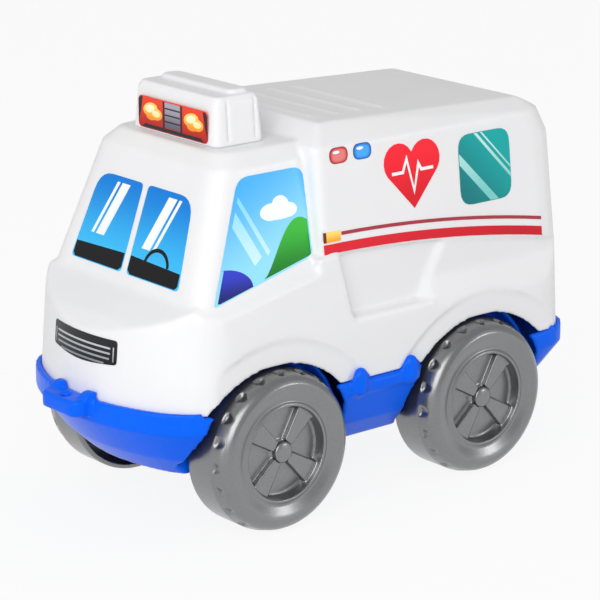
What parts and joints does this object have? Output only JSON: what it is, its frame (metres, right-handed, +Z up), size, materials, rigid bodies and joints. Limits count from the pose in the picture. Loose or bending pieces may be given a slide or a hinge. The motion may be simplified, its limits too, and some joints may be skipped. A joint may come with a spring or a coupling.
{
  "type": "toy ambulance",
  "caption": "Child-size moulded plastic ambulance with a white body shell, roof light bar, blue chassis with a tow lug and free-turning grey wheels.",
  "frame": {"origin": "middle of the footprint, on the floor that the wheels stand on", "axes": "+Z up; the front of the vehicle faces -Y; +X is the vehicle's left side, along the wheel axles"},
  "size_m": [0.2088, 0.396, 0.294],
  "materials": {
    "shell_white": "glossy moulded",
    "chassis_blue": "glossy moulded",
    "wheel_grey": "silver-pigmented moulded",
    "steel": "drawn rod",
    "print_sky": "printed film",
    "print_dark": "printed film",
    "print_amber": "printed film",
    "print_red": "printed film",
    "print_teal": "printed film"
  },
  "bodies": {
    "ambulance": {"body_shell": "shell_white", "light_bar": "shell_white", "chassis": "chassis_blue", "front_axle": "steel", "rear_axle": "steel", "axle_push_nuts": "steel", "body_screws": "steel", "windscreen_label_left": "print_sky", "windscreen_label_right": "print_sky", "grille_label": "print_dark", "light_bar_label": "print_amber", "cab_window_label_left": "print_sky", "cab_window_label_right": "print_sky", "emblem_label_left": "print_red", "emblem_label_right": "print_red", "rear_window_label_left": "print_teal", "rear_window_label_right": "print_teal", "stripe_label_left": "print_red", "stripe_label_right": "print_red", "side_lamp_labels_left": "print_red", "side_lamp_labels_right": "print_red"},
    "front_left_wheel": {"wheel_front_left": "wheel_grey", "hub_cap_front_left": "wheel_grey"},
    "front_right_wheel": {"wheel_front_right": "wheel_grey", "hub_cap_front_right": "wheel_grey"},
    "rear_left_wheel": {"wheel_rear_left": "wheel_grey", "hub_cap_rear_left": "wheel_grey"},
    "rear_right_wheel": {"wheel_rear_right": "wheel_grey", "hub_cap_rear_right": "wheel_grey"}
  },
  "joints": [
    {"name": "front_left_wheel_spin", "type": "hinge", "parent": "ambulance", "child": "front_left_wheel", "pos_m": [0.085, -0.082, 0.0565], "axis": [1, 0, 0], "continuous": true},
    {"name": "front_right_wheel_spin", "type": "hinge", "parent": "ambulance", "child": "front_right_wheel", "pos_m": [-0.085, -0.082, 0.0565], "axis": [1, 0, 0], "continuous": true},
    {"name": "rear_left_wheel_spin", "type": "hinge", "parent": "ambulance", "child": "rear_left_wheel", "pos_m": [0.085, 0.102, 0.0565], "axis": [1, 0, 0], "continuous": true},
    {"name": "rear_right_wheel_spin", "type": "hinge", "parent": "ambulance", "child": "rear_right_wheel", "pos_m": [-0.085, 0.102, 0.0565], "axis": [1, 0, 0], "continuous": true}
  ]
}
